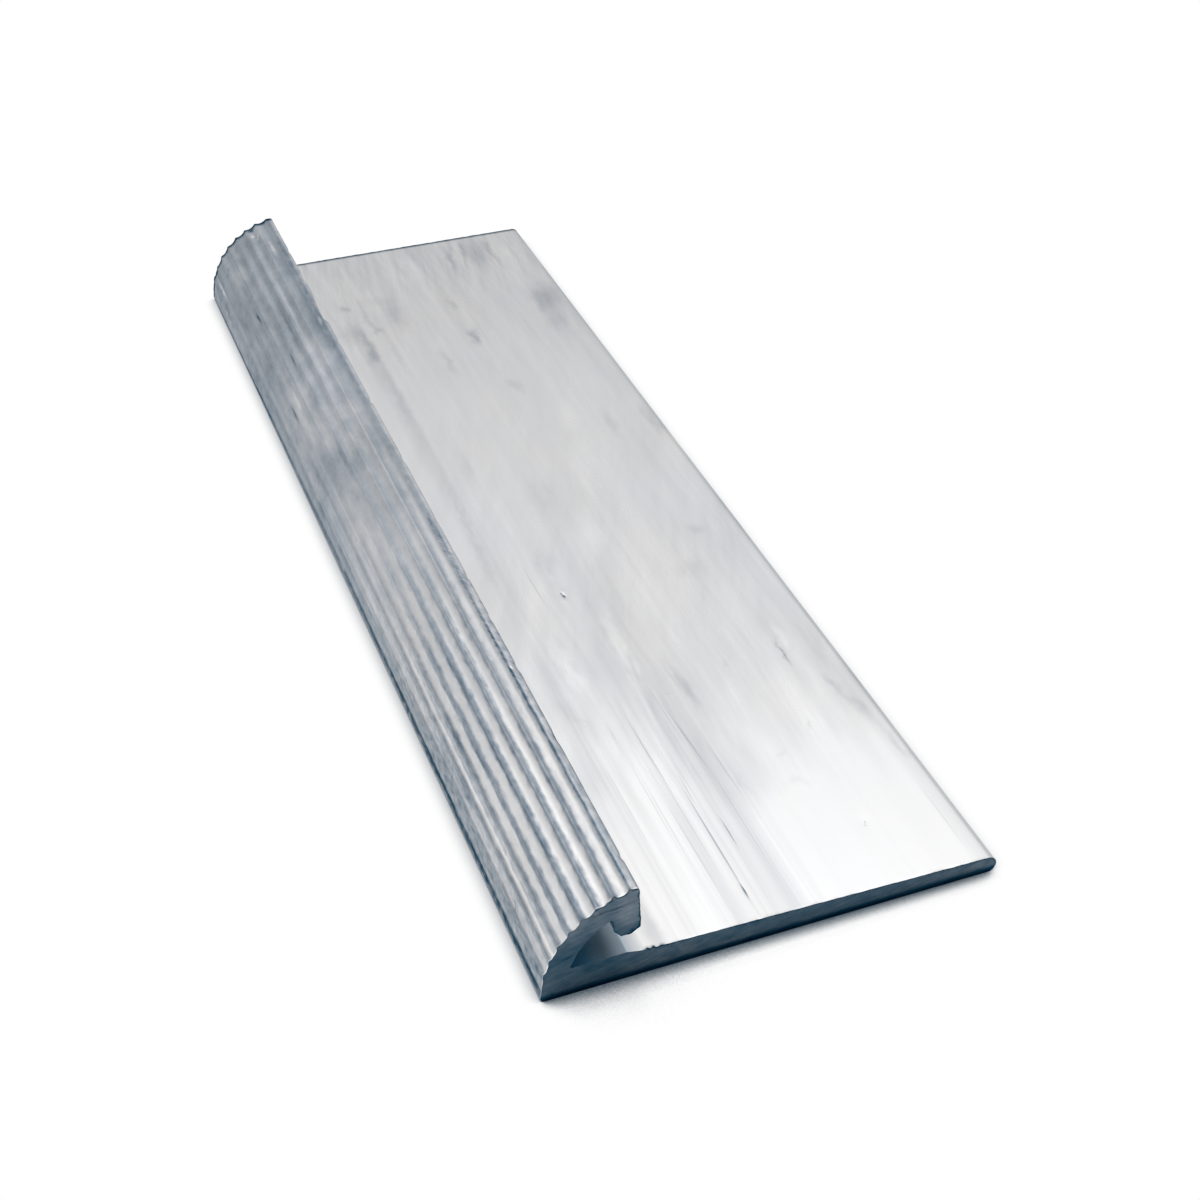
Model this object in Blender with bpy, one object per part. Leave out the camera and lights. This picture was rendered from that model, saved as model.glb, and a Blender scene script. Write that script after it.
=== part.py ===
"""Carpet edge trim: one cut length of extruded aluminium, open at both ends.

The section is a tapered flange that lies under the carpet's edge, a quarter-round nose with flutes
along it for grip, and a hook lip that hangs from the top of the nose over a channel, where the
carpet is tucked in. The section lies in the XZ plane with the nose at -X, and runs along Y.
All sizes are in metres, and the origin is under the middle of the piece, on the floor.
"""

import math

import bmesh
import bpy

# Overall
LENGTH = 0.1524
WIDTH = 0.0476

# Nose: a quarter round about a point on the floor, above a flat kick face with a rounded heel
NOSE_RADIUS = 0.0112
NOSE_WALL = 0.0024
HEEL_RADIUS = 0.0004

# Flutes: concave scallops between crests spaced evenly round the nose
FLUTE_COUNT = 7
FLUTE_DEPTH = 0.00027
FLUTE_PITCH = math.radians(9.0)
FIRST_CREST = math.radians(17.2)
CREST_LAND = 0.00016

# Flat land on top of the nose, from the last crest to the lip's outer face
TOP_LAND = 0.00085
TOP_CORNER_RADIUS = 0.0003

# Hook lip, thicker where it hangs from the nose, with both lower corners cut off
LIP_ROOT_THICKNESS = 0.0028
LIP_THICKNESS = 0.0026
LIP_INNER_CUT_WIDTH = 0.0006
LIP_INNER_CUT_HEIGHT = 0.00075
LIP_OUTER_CUT_WIDTH = 0.00095
LIP_OUTER_CUT_HEIGHT = 0.0005
LIP_CORNER_RADIUS = 0.00015

# Channel: its floor, and the mouth left under the lip for the carpet's edge
CHANNEL_FLOOR = 0.0033
MOUTH_HEIGHT = 0.0023
CHANNEL_CORNER_RADIUS = 0.0003

# Ramp from the channel floor down to the flange, ending just outside the lip
RAMP_RUN = 0.0018
RAMP_FOOT_CLEARANCE = 0.0003

# Flange, tapering to a full-round edge
FLANGE_ROOT_THICKNESS = 0.00295
FLANGE_TIP_THICKNESS = 0.0019

# Facets of the round stretches
FLUTE_SEGMENTS = 8
CHANNEL_SEGMENTS = 14
EDGE_SEGMENTS = 8
CORNER_SEGMENTS = 4
SHARP_ANGLE = math.radians(35.0)

# Directions in the section, as angles from +X, turning clockwise
RIGHT = 0.0
DOWN = -0.5 * math.pi
LEFT = -math.pi

ALUMINIUM_COLOUR = (0.70, 0.72, 0.75, 1.0)
ALUMINIUM_ROUGHNESS = 0.38


def on_circle(centre, radius, angle):
    """The point of a circle at an angle from +X."""
    return (centre[0] + radius * math.cos(angle), centre[1] + radius * math.sin(angle))


def arc(centre, radius, start, end, segments):
    """Points along an arc, both ends included, turning whichever way start runs to end."""
    steps = range(segments + 1)
    return [on_circle(centre, radius, start + (end - start) * i / segments) for i in steps]


def tangent_angle(centre, radius, point, side):
    """Where a line from an outside point touches a circle: side is +1 anticlockwise, -1 clockwise."""
    towards = math.atan2(point[1] - centre[1], point[0] - centre[0])
    return towards + side * math.acos(radius / math.dist(point, centre))


def nose_point(radius, rise):
    """A point on a circle about the nose's centre, at an angle above the floor."""
    return on_circle((NOSE_RADIUS, 0.0), radius, LEFT - rise)


def fillet(before, corner, after, radius):
    """Points that round the corner between two straight runs."""
    length_before = math.dist(before, corner)
    length_after = math.dist(after, corner)
    u = ((before[0] - corner[0]) / length_before, (before[1] - corner[1]) / length_before)
    v = ((after[0] - corner[0]) / length_after, (after[1] - corner[1]) / length_after)
    half = 0.5 * math.acos(u[0] * v[0] + u[1] * v[1])
    setback = min(radius / math.tan(half), 0.45 * length_before, 0.45 * length_after)
    radius = setback * math.tan(half)
    bisector = (u[0] + v[0], u[1] + v[1])
    reach = radius / math.sin(half) / math.hypot(*bisector)
    centre = (corner[0] + bisector[0] * reach, corner[1] + bisector[1] * reach)
    start = math.atan2(corner[1] + u[1] * setback - centre[1], corner[0] + u[0] * setback - centre[0])
    end = math.atan2(corner[1] + v[1] * setback - centre[1], corner[0] + v[0] * setback - centre[0])
    sweep = (end - start + math.pi) % (2.0 * math.pi) - math.pi
    return arc(centre, radius, start, start + sweep, CORNER_SEGMENTS)


def rounded(corners):
    """Straight runs through (x, z, radius) corners, rounded, without the first and last corner."""
    points = []
    for before, corner, after in zip(corners, corners[1:], corners[2:]):
        points += fillet(before[:2], corner[:2], after[:2], corner[2])
    return points


def kick_face(first_crest):
    """The heel's rounding, from the floor up to where the flat face to the first crest begins."""
    centre = (HEEL_RADIUS, HEEL_RADIUS)
    face = tangent_angle(centre, HEEL_RADIUS, first_crest, 1)
    return arc(centre, HEEL_RADIUS, DOWN, LEFT, EDGE_SEGMENTS) + [on_circle(centre, HEEL_RADIUS, face)]


def flute(crest, next_crest, valley):
    """A circular scallop from one crest to the next through its valley, without its end points."""
    middle = ((crest[0] + next_crest[0]) / 2.0, (crest[1] + next_crest[1]) / 2.0)
    half_chord = math.dist(crest, next_crest) / 2.0
    depth = math.dist(middle, valley)
    radius = (half_chord ** 2 + depth ** 2) / (2.0 * depth)
    inward = math.atan2(valley[1] - middle[1], valley[0] - middle[0])
    centre = on_circle(valley, -radius, inward)
    reach = math.asin(half_chord / radius)
    return arc(centre, radius, inward - reach, inward + reach, FLUTE_SEGMENTS)[1:-1]


def fluted_face():
    """The nose's outer face from its first crest to its last, flute by flute."""
    half_land = 0.5 * CREST_LAND / NOSE_RADIUS
    points = []
    for i in range(FLUTE_COUNT + 1):
        crest = FIRST_CREST + i * FLUTE_PITCH
        points.append(nose_point(NOSE_RADIUS, crest - half_land))
        points.append(nose_point(NOSE_RADIUS, crest + half_land))
        if i < FLUTE_COUNT:
            next_crest = nose_point(NOSE_RADIUS, crest + FLUTE_PITCH - half_land)
            valley = nose_point(NOSE_RADIUS - FLUTE_DEPTH, crest + FLUTE_PITCH / 2.0)
            points += flute(points[-1], next_crest, valley)
    return points


def channel_wall(lip_root_x):
    """The channel's curved wall, concentric with the nose, from the lip's root to the floor."""
    radius = NOSE_RADIUS - NOSE_WALL
    root = math.acos((NOSE_RADIUS - lip_root_x) / radius)
    foot = math.asin(CHANNEL_FLOOR / radius)
    return arc((NOSE_RADIUS, 0.0), radius, LEFT - root, LEFT - foot, CHANNEL_SEGMENTS)


def hook_lip(top_crest, lip_x, lip_root):
    """The top land's corner, the lip's outer face, its cut corners and its inner face."""
    inner_x = lip_x - LIP_THICKNESS
    bottom = CHANNEL_FLOOR + MOUTH_HEIGHT
    return rounded([
        (*top_crest, 0.0),
        (lip_x, top_crest[1], TOP_CORNER_RADIUS),
        (lip_x, bottom + LIP_OUTER_CUT_HEIGHT, LIP_CORNER_RADIUS),
        (lip_x - LIP_OUTER_CUT_WIDTH, bottom, LIP_CORNER_RADIUS),
        (inner_x + LIP_INNER_CUT_WIDTH, bottom, LIP_CORNER_RADIUS),
        (inner_x, bottom + LIP_INNER_CUT_HEIGHT, LIP_CORNER_RADIUS),
        (*lip_root, 0.0),
    ])


def channel_floor(wall_end, wall_foot, flange_root):
    """The floor between the corner at the wall's foot and the top of the ramp."""
    return rounded([
        (*wall_end, 0.0),
        (*wall_foot, CHANNEL_CORNER_RADIUS),
        (flange_root[0] - RAMP_RUN, CHANNEL_FLOOR, CHANNEL_CORNER_RADIUS),
        (*flange_root, 0.0),
    ])


def flange_edge(flange_root):
    """The full-round edge, from its tangent with the tapered top round to the floor."""
    radius = FLANGE_TIP_THICKNESS / 2.0
    centre = (WIDTH - radius, radius)
    top = tangent_angle(centre, radius, flange_root, -1)
    upper = arc(centre, radius, top, RIGHT, EDGE_SEGMENTS)
    lower = arc(centre, radius, RIGHT, DOWN, EDGE_SEGMENTS)
    return upper + lower[1:]


def section():
    """The closed outline as (x, z) points, clockwise from the heel, which touches x = 0."""
    crests = fluted_face()
    lip_x = crests[-1][0] + TOP_LAND
    wall = channel_wall(lip_x - LIP_ROOT_THICKNESS)
    flange_root = (lip_x + RAMP_FOOT_CLEARANCE, FLANGE_ROOT_THICKNESS)
    return (
        kick_face(crests[0])
        + crests
        + hook_lip(crests[-1], lip_x, wall[0])
        + wall[:-1]
        + channel_floor(wall[-2], wall[-1], flange_root)
        + [flange_root]
        + flange_edge(flange_root)
    )


def extrude_section(name):
    """A closed mesh object: the section, filled and extruded along Y, centred on the origin."""
    mesh = bpy.data.meshes.new(name)
    shape = bmesh.new()
    outline = [shape.verts.new((x - WIDTH / 2.0, -LENGTH / 2.0, z)) for x, z in section()]
    near_end = shape.faces.new(outline)
    extruded = bmesh.ops.extrude_face_region(shape, geom=[near_end], use_keep_orig=True)
    far_end = [item for item in extruded["geom"] if isinstance(item, bmesh.types.BMVert)]
    bmesh.ops.translate(shape, verts=far_end, vec=(0.0, LENGTH, 0.0))
    bmesh.ops.recalc_face_normals(shape, faces=shape.faces)
    shape.to_mesh(mesh)
    shape.free()
    mesh.shade_smooth()
    mesh.set_sharp_from_angle(angle=SHARP_ANGLE)
    trim = bpy.data.objects.new(name, mesh)
    bpy.context.collection.objects.link(trim)
    return trim


def mill_finish_aluminium():
    """Bare extruded aluminium, neither polished nor anodised."""
    material = bpy.data.materials.new("mill_finish_aluminium")
    material.use_nodes = True
    surface = material.node_tree.nodes["Principled BSDF"]
    surface.inputs["Base Color"].default_value = ALUMINIUM_COLOUR
    surface.inputs["Metallic"].default_value = 1.0
    surface.inputs["Roughness"].default_value = ALUMINIUM_ROUGHNESS
    return material


def main():
    for old in list(bpy.data.objects):
        bpy.data.objects.remove(old, do_unlink=True)
    trim = extrude_section("edge_trim")
    trim.data.materials.append(mill_finish_aluminium())


main()
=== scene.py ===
import math

import bpy
from mathutils import Matrix, Vector, geometry, noise


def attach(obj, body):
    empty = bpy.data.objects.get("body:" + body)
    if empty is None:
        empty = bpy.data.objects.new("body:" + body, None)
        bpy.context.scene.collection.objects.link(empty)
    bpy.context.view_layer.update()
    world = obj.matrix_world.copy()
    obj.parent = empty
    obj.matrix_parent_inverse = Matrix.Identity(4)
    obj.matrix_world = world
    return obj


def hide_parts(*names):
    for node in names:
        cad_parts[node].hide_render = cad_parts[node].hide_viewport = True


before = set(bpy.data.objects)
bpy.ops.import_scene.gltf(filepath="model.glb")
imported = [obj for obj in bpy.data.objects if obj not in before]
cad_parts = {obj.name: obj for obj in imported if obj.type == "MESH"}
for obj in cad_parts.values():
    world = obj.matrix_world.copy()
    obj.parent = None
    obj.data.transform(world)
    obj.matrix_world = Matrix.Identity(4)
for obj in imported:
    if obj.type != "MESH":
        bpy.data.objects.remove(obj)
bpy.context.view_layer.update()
print("frame loaded:", ", ".join(sorted(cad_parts)))

# All lengths are in metres in the frame's own axes: the section lies in XZ with the nose at -X,
# the length runs along Y with the near cut end at -Y, and the trim lies on the floor at Z = 0.
mm = 0.001


# The extruded section, the same sizes as the solid in the frame
section = {
    "length": 152.4 * mm,
    "width": 47.6 * mm,
    "noseRadius": 11.2 * mm,
    "noseWall": 2.4 * mm,
    "heelRadius": 0.4 * mm,
    "fluteCount": 7,
    "fluteDepth": 0.27 * mm,
    "flutePitch": math.radians(9),
    "firstCrest": math.radians(17.2),
    "crestLand": 0.16 * mm,
    "topLand": 0.85 * mm,
    "topCornerRadius": 0.3 * mm,
    "lipRootThickness": 2.8 * mm,
    "lipThickness": 2.6 * mm,
    "lipInnerCut": (0.6 * mm, 0.75 * mm),
    "lipOuterCut": (0.95 * mm, 0.5 * mm),
    "lipCornerRadius": 0.15 * mm,
    "channelFloor": 3.3 * mm,
    "mouthHeight": 2.3 * mm,
    "channelCornerRadius": 0.3 * mm,
    "rampRun": 1.8 * mm,
    "rampFootClearance": 0.3 * mm,
    "flangeRoot": 2.95 * mm,
    "flangeTip": 1.9 * mm,
}

# How finely the visible mesh follows that section, by stretch, and how its rings are spaced
meshing = {
    "spacing": {
        "nose": 0.25 * mm,
        "lip": 0.25 * mm,
        "channel": 0.4 * mm,
        "foot": 0.14 * mm,
        "flange": 0.5 * mm,
        "scratch": 0.1 * mm,
        "edge": 0.25 * mm,
        "underside": 2.4 * mm,
    },
    "footEnd": 12.9 * mm,  # the flange is finely cut up to here from the ramp, for its burrs
    "scratchStart": 21.7 * mm,  # and between these two, for the scratch and the nick
    "scratchEnd": 22.9 * mm,
    "fluteSteps": 10,
    "cornerSteps": 5,
    "edgeSteps": 10,
    "channelSteps": 16,
    "ringSpacing": 0.72 * mm,
    "endRings": (0, 0.07, 0.16, 0.3, 0.5, 0.8, 1.2, 1.8, 2.5),
    "fineRings": ((2.8, 6, 0.32), (55.6, 58.7, 0.2)),  # from, to and spacing along the length, in mm
    "fineMargin": 0.1,  # even rings keep this far from the fine ones, in mm
    "faceSpacing": 0.3 * mm,  # of points inside the cut faces, up to the height given next
    "faceTop": 11.5 * mm,
    "faceJitter": 0.2,  # these three are shares of that spacing
    "rimClearance": 0.55,
    "strokeClearance": 0.5,
    "facePrecision": 1e-8,
    "sharpAngle": math.radians(48),
    "lipFaces": 0.35 * mm,  # how far below the top crest the lip's faces take finishes of their own
    "outerFacing": 0.9,
}


def onCircle(centre, radius, angle):
    return (centre[0] + radius * math.cos(angle), centre[1] + radius * math.sin(angle))


def arc(centre, radius, start, end, steps):
    return [onCircle(centre, radius, start + (end - start) * i / steps) for i in range(steps + 1)]


def tangentAngle(centre, radius, point, side):
    towards = math.atan2(point[1] - centre[1], point[0] - centre[0])
    return towards + side * math.acos(radius / math.dist(point, centre))


def nosePoint(radius, rise):
    return onCircle((section["noseRadius"], 0.0), radius, -math.pi - rise)


def fillet(before, corner, after, radius):
    u = Vector((before[0] - corner[0], before[1] - corner[1]))
    v = Vector((after[0] - corner[0], after[1] - corner[1]))
    half = 0.5 * u.angle(v)
    setback = min(radius / math.tan(half), 0.45 * u.length, 0.45 * v.length)
    radius = setback * math.tan(half)
    middle = Vector(corner) + (u.normalized() + v.normalized()).normalized() * radius / math.sin(half)
    start = Vector(corner) + u.normalized() * setback - middle
    end = Vector(corner) + v.normalized() * setback - middle
    first = math.atan2(start.y, start.x)
    sweep = (math.atan2(end.y, end.x) - first + math.pi) % (2.0 * math.pi) - math.pi
    return arc(middle, radius, first, first + sweep, meshing["cornerSteps"])


def rounded(corners):
    points = []
    for before, corner, after in zip(corners, corners[1:], corners[2:]):
        points += fillet(before[:2], corner[:2], after[:2], corner[2])
    return points


# Height of the top crest and of the land beside it
def fluteTop():
    lastCrest = section["firstCrest"] + section["fluteCount"] * section["flutePitch"]
    return nosePoint(section["noseRadius"], lastCrest)[1]


def scallop(crest, nextCrest, valley):
    middle = ((crest[0] + nextCrest[0]) / 2.0, (crest[1] + nextCrest[1]) / 2.0)
    halfChord = math.dist(crest, nextCrest) / 2.0
    depth = math.dist(middle, valley)
    radius = (halfChord ** 2 + depth ** 2) / (2.0 * depth)
    inward = math.atan2(valley[1] - middle[1], valley[0] - middle[0])
    centre = onCircle(valley, -radius, inward)
    reach = math.asin(halfChord / radius)
    return arc(centre, radius, inward - reach, inward + reach, meshing["fluteSteps"])[1:-1]


def flutedFace():
    pitch, halfLand = section["flutePitch"], 0.5 * section["crestLand"] / section["noseRadius"]
    points = []
    for i in range(section["fluteCount"] + 1):
        crest = section["firstCrest"] + i * pitch
        points += [nosePoint(section["noseRadius"], crest - halfLand)]
        points += [nosePoint(section["noseRadius"], crest + halfLand)]
        if i < section["fluteCount"]:
            nextCrest = nosePoint(section["noseRadius"], crest + pitch - halfLand)
            valley = nosePoint(section["noseRadius"] - section["fluteDepth"], crest + pitch / 2.0)
            points += scallop(points[-1], nextCrest, valley)
    return points


# The outline's stretches in order, clockwise from under the heel: (name, points), x from the heel
def stretches():
    heelRadius = section["heelRadius"]
    heel = (heelRadius, heelRadius)
    flutes = flutedFace()
    kick = tangentAngle(heel, heelRadius, flutes[0], 1) - 2.0 * math.pi
    lipX, topZ = flutes[-1][0] + section["topLand"], flutes[-1][1]
    innerX, lipZ = lipX - section["lipThickness"], section["channelFloor"] + section["mouthHeight"]
    innerCut, outerCut = section["lipInnerCut"], section["lipOuterCut"]
    corner = section["lipCornerRadius"]
    wallRadius = section["noseRadius"] - section["noseWall"]
    lipRoot = math.acos((section["noseRadius"] - lipX + section["lipRootThickness"]) / wallRadius)
    wallFoot = math.asin(section["channelFloor"] / wallRadius)
    noseCentre = (section["noseRadius"], 0.0)
    wall = arc(noseCentre, wallRadius, -math.pi - lipRoot, -math.pi - wallFoot, meshing["channelSteps"])
    flangeRoot = (lipX + section["rampFootClearance"], section["flangeRoot"])
    rampTop = (flangeRoot[0] - section["rampRun"], section["channelFloor"])
    tipRadius = section["flangeTip"] / 2.0
    tip = (section["width"] - tipRadius, tipRadius)
    tipStart = tangentAngle(tip, tipRadius, flangeRoot, -1)
    topEnd = onCircle(tip, tipRadius, tipStart)

    def onTop(x):
        share = (x - flangeRoot[0]) / (topEnd[0] - flangeRoot[0])
        return (x, flangeRoot[1] + share * (topEnd[1] - flangeRoot[1]))

    lip = rounded([
        (*flutes[-1], 0.0),
        (lipX, topZ, section["topCornerRadius"]),
        (lipX, lipZ + outerCut[1], corner),
        (lipX - outerCut[0], lipZ, corner),
        (innerX + innerCut[0], lipZ, corner),
        (innerX, lipZ + innerCut[1], corner),
        (*wall[0], 0.0),
    ])
    floor = rounded([
        (*wall[-2], 0.0),
        (*wall[-1], section["channelCornerRadius"]),
        (*rampTop, section["channelCornerRadius"]),
        (*flangeRoot, 0.0),
    ])
    return [
        ("nose", arc(heel, heelRadius, -0.5 * math.pi, kick, meshing["cornerSteps"]) + flutes),
        ("lip", lip),
        ("channel", wall[:-1] + floor),
        ("foot", [flangeRoot]),
        ("flange", [onTop(meshing["footEnd"])]),
        ("scratch", [onTop(meshing["scratchStart"])]),
        ("flange", [onTop(meshing["scratchEnd"])]),
        ("edge", arc(tip, tipRadius, tipStart, 0.0, meshing["edgeSteps"])
         + arc(tip, tipRadius, 0.0, -0.5 * math.pi, meshing["edgeSteps"])[1:]),
        ("underside", []),
    ]


# Columns of the mesh: each is (x, z, stretch name, outward normal), long runs cut to even steps
def outlineColumns():
    corners = []
    for name, points in stretches():
        corners += [(p[0], p[1], name) for p in points]
    corners.append((corners[0][0], corners[0][1], "underside"))
    places = []
    for (x0, z0, name0), (x1, z1, name1) in zip(corners, corners[1:]):
        steps = max(1, math.ceil(math.dist((x0, z0), (x1, z1)) / meshing["spacing"][name0] - 0.01))
        if name0 == "edge" and name1 == "underside":
            steps = math.ceil(math.dist((x0, z0), (x1, z1)) / meshing["spacing"]["underside"])
        for i in range(steps):
            t = i / steps
            name = name1 if (name1 == "underside" and i) else name0
            places.append((x0 + (x1 - x0) * t, z0 + (z1 - z0) * t, name))
    columns = []
    for i, (x, z, name) in enumerate(places):
        before, after = places[i - 1], places[(i + 1) % len(places)]
        along = Vector((after[0] - before[0], after[1] - before[1])).normalized()
        columns.append((x, z, name, Vector((-along.y, along.x))))
    return columns


# Places of the mesh's rings along the length: closer at the ends and at the nick
def ringPlaces():
    ends = [offset * mm for offset in meshing["endRings"]]
    run = section["length"] - 2.0 * ends[-1]
    steps = round(run / meshing["ringSpacing"])
    middle = [ends[-1] + run * i / steps for i in range(1, steps)]
    margin = meshing["fineMargin"]
    for start, stop, spacing in meshing["fineRings"]:
        middle = [y for y in middle if not start - margin < y / mm < stop + margin]
        count = round((stop - start) / spacing)
        middle += [(start + (stop - start) * i / count) * mm for i in range(count + 1)]
    return ends + sorted(middle) + [section["length"] - offset for offset in reversed(ends)]


def insideOutline(x, z, outline):
    inside = False
    for (x0, z0), (x1, z1) in zip(outline, outline[1:] + outline[:1]):
        if (z0 > z) != (z1 > z) and x < x0 + (x1 - x0) * (z - z0) / (z1 - z0):
            inside = not inside
    return inside


# How handling, the die and the saw left the surfaces; x from the heel and y from the near end, in mm
wear = {
    # uneven surfaces: height, then the noise's repeats along the three values it is given
    "waves": (0.01, 0.09, 0.035, 1),  # slow hollows over the flange
    "dieLines": (0.003, 1.3, 0.012, 1),  # fine lines that the die drew along the length
    "noseLines": (0.4 * 0.003, 9, 0.02, 1),
    "crestWear": (0.035, 7.3, 0.2, 1),  # uneven height of the crests
    "crestNicks": (0.8 * 0.035, 3.1, 0.55, 1),
    "kickFaceGrain": (0.012, 0.8, 0.5, 0.9),
    "landGrain": (0.014, 1.6, 0.7, 1.6),
    "undersideWaves": (0.02, 0.2, 0.03, 1),
    "chipGrain": (0.5, 1.3, 1, 1),
    "rimGrain": (0.04, 2.1, 2.1, 1),  # unevenness of the cut edges
    "rimWaves": (0.04, 0.9, 0.9, 1),
    "sawLines": (0.018, 0.3, 2.4, 1),  # depth of the saw's strokes in the cut faces
    "sawWaves": (0.6 * 0.018, 1.1, 1.5, 1),
    "jitterX": (1, 1.7, 2.3, 1),  # for points inside the cut faces
    "jitterZ": (1, 2.9, 1.3, 1),
    "kickFaceEnd": -0.2,  # this and the next three are in flutes
    "crestReach": 0.16,
    "valleyReach": 0.3,
    "filledUpTo": 5,
    "flutesFilled": 0.15,  # how much shallower the lowest flute is
    "chipStart": (9.35, 9.7),  # chips begin at this x and z, are full this much further, and lean this way
    "chipEase": (0.7, 1.2),
    "chipLean": (1, 0.4),
    "chips": [  # on the top corner of the lip: y where each starts, is deepest and ends, and its depth
        (118, 119.4, 128.5, 0.5), (21.6, 23.4, 25.4, 0.07), (35, 36, 37.2, 0.15), (64.8, 66, 67.3, 0.06),
        (94.4, 95.4, 96.5, 0.16), (110.6, 112, 113.5, 0.12), (130, 132, 134.5, 0.14), (3.9, 4.6, 5.4, 0.12),
        (44.6, 45.2, 46.4, 0.1), (53, 53.7, 54.6, 0.12), (78.8, 80.4, 81.6, 0.1), (139.4, 141, 142.1, 0.12),
    ],
    "dents": [  # in the flange: x, y, half width, half length, depth
        (22.2, 57.1, 0.15, 0.45, 0.1), (21.95, 56.4, 0.5, 0.9, -0.014), (22.45, 57.9, 0.35, 0.6, -0.016),
        (37.5, 9, 0.6, 0.8, 0.02), (22.4, 11, 0.09, 7, 0.02), (22.4, 4.2, 0.12, 1.2, 0.045),
        (41.5, 38, 0.6, 2.6, 0.012),
    ],
    "noseDents": [  # in the nose: crest number, y, reach in crests, reach along, depth
        (0.7, 26.5, 0.42, 2.6, 0.05), (5.95, 18.5, 0.12, 0.9, 0.04), (2.45, 33.5, 0.25, 1.4, 0.03),
        (0.32, 9.3, 0.1, 0.5, 0.05), (4.05, 24, 0.12, 1.2, 0.04), (3, 46, 0.14, 1.6, 0.04),
    ],
    "burrs": [  # at the near end: x, z, reach round it, height
        (1, 4.6, 0.3, 0.1), (2.2, 6.4, 0.35, 0.1), (3.3, 7.9, 0.3, 0.1), (4.5, 9.05, 0.35, 0.12),
        (7.72, 10.55, 0.16, 0.3), (7.1, 10.2, 0.25, 0.14), (9.25, 11.05, 0.25, 0.14), (5.6, 9.75, 0.25, 0.12),
        (10.75, 2.95, 0.16, 0.2), (11.35, 2.92, 0.14, 0.3), (12.2, 2.9, 0.25, 0.1), (0.5, 3.3, 0.3, 0.08),
        (7.65, 6.6, 0.25, 0.12), (9, 5.55, 0.25, 0.1),
    ],
    "burrLength": 0.3,  # how far burrs and ragged edges reach along the length
    "strokeSlope": 0.25,  # of the saw's strokes, height by distance across
    "sawSteps": [  # lines where a stroke stopped, in the near cut: x and z from, x and z to, depth
        (5.7, 8.9, 10.1, 9.42, 0.09), (6.6, 8.55, 8.6, 8.8, 0.05), (2.4, 4.55, 3.4, 4.75, 0.05),
    ],
    "sawStepReach": 0.13,
    "sawStepSpacing": 0.25,
}


def hill(distance):
    return math.exp(-distance * distance)


def ease(share):
    share = min(1.0, max(0.0, share))
    return share * share * (3.0 - 2.0 * share)


# Unevenness of a named kind, in mm
def swing(kind, place, share=1.0):
    height, *repeats = wear[kind]
    return height * share * noise.noise(Vector([value * repeat for value, repeat in zip(place, repeats)]))


def fluteIndex(x, z):
    rise = math.atan2(z, section["noseRadius"] / mm - x)
    return (rise - section["firstCrest"]) / section["flutePitch"]


# How far a point of the skin stands off the plain section along its normal, all in mm
def skinRelief(x, z, name, y):
    if name in ("foot", "flange", "scratch", "edge", "channel"):
        off = swing("waves", (x, y, 3.0)) + swing("dieLines", (x, y, 9.0))
        for dentX, dentY, halfWidth, halfLength, depth in wear["dents"]:
            if abs(x - dentX) < 3.0 * halfWidth and abs(y - dentY) < 3.0 * halfLength:
                off -= depth * hill((x - dentX) / halfWidth) * hill((y - dentY) / halfLength)
        return off
    if name == "underside":
        return min(0.0, swing("undersideWaves", (x, y, 5.0)) - 0.5 * wear["undersideWaves"][0])
    if name == "lip":
        return swing("landGrain", (x, y, z))
    index = fluteIndex(x, z)
    off = 0.0
    for dentIndex, dentY, reach, reachAlong, depth in wear["noseDents"]:
        off -= depth * hill((index - dentIndex) / reach) * hill((y - dentY) / reachAlong)
    if index < wear["kickFaceEnd"]:
        return off + swing("kickFaceGrain", (x, y, z))
    nearest = round(index)
    crest = hill((index - nearest) / wear["crestReach"])
    off += swing("crestWear", (nearest, y, 1.0), crest)
    off += swing("crestNicks", (nearest, y, 2.0), crest)
    valley = hill((index % 1.0 - 0.5) / wear["valleyReach"])
    off += wear["flutesFilled"] * valley * max(0.0, 1.0 - index / wear["filledUpTo"])
    return off + swing("noseLines", (index, y, 4.0))


# How far a chip has taken a point of the lip back, in mm: full at the top corner, none away from it
def chipDepth(x, z, y):
    (startX, startZ), (easeX, easeZ) = wear["chipStart"], wear["chipEase"]
    share = ease((x - startX) / easeX) * ease((z - startZ) / easeZ)
    if share == 0.0:
        return 0.0
    depth = 0.0
    for start, deepest, stop, most in wear["chips"]:
        if start < y < stop:
            along = (y - start) / (deepest - start) if y < deepest else (stop - y) / (stop - deepest)
            depth += most * ease(along) * (1.0 + swing("chipGrain", (y, 1.7, 0.0)))
    return share * depth


# The saw drags a thin burr over the upper edges of each cut
def burrHeight(x, z, name, end):
    if name in ("underside", "edge"):
        return 0.0
    height = swing("rimGrain", (x, z, 8.0 + end)) + swing("rimWaves", (x, z, 18.0 + end))
    if end == 0:
        for burrX, burrZ, reach, tall in wear["burrs"]:
            height += tall * hill((x - burrX) / reach) * hill((z - burrZ) / reach)
    return height


# Places along the lines where a stroke of the saw stopped
def sawStepPlaces(fromX, fromZ, toX, toZ, aside):
    along = Vector((toX - fromX, toZ - fromZ))
    across = Vector((-along.y, along.x)).normalized() * aside
    steps = round(along.length / wear["sawStepSpacing"])
    return [Vector((fromX, fromZ)) + along * i / steps + across for i in range(steps + 1)]


# How far the cut face stands out of its plane, in mm, positive outward
def sawRelief(x, z, end):
    off = swing("sawLines", (x, z - wear["strokeSlope"] * x, 20.0 + end))
    off += swing("sawWaves", (x, z, 30.0 + end))
    if end == 0:
        for fromX, fromZ, toX, toZ, depth in wear["sawSteps"]:
            along = (x - fromX) / (toX - fromX)
            if -0.02 < along < 1.02:
                off -= depth * hill((z - fromZ - (toZ - fromZ) * along) / wear["sawStepReach"])
    return off


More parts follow.
